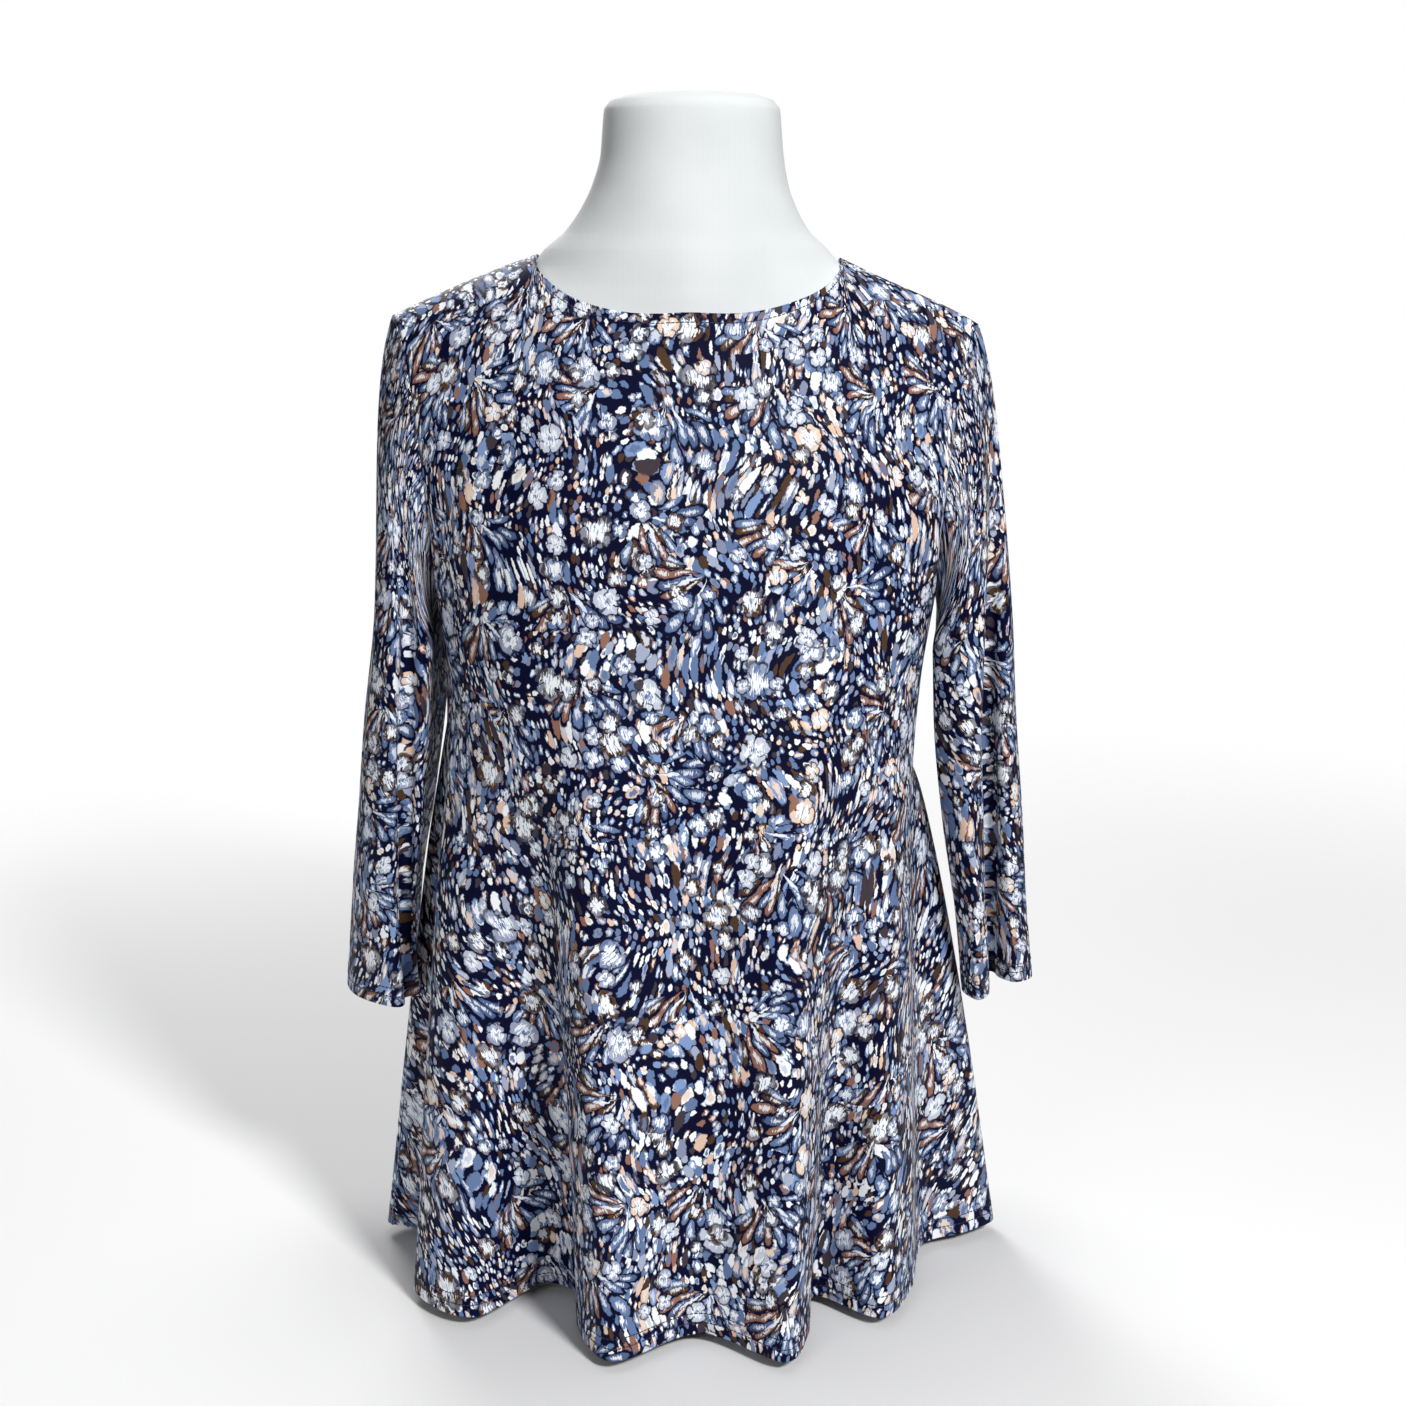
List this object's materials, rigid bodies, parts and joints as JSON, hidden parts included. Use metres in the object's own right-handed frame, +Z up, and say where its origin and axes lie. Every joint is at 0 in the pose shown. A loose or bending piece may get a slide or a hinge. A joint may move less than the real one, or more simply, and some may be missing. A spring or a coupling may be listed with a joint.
{
  "type": "knit blouse on a dress form",
  "caption": "Round-neck printed jersey tunic blouse with three-quarter sleeves and a wavy flared hem, standing on a plain white limbless dress form",
  "frame": {"origin": "the middle of the dress form's flat base, where the part stands", "axes": "+Z up, +X to the viewer's right as seen from the front, the front of the blouse faces -Y"},
  "size_m": [0.5066, 0.374, 0.8285],
  "materials": {
    "printed_jersey": "soft viscose jersey, a faint sheen",
    "white_jersey_cover": "matt stretched white jersey"
  },
  "bodies": {
    "root": {"front_panel": "printed_jersey", "back_panel": "printed_jersey", "right_sleeve": "printed_jersey", "left_sleeve": "printed_jersey", "dress_form": "white_jersey_cover"}
  },
  "joints": []
}
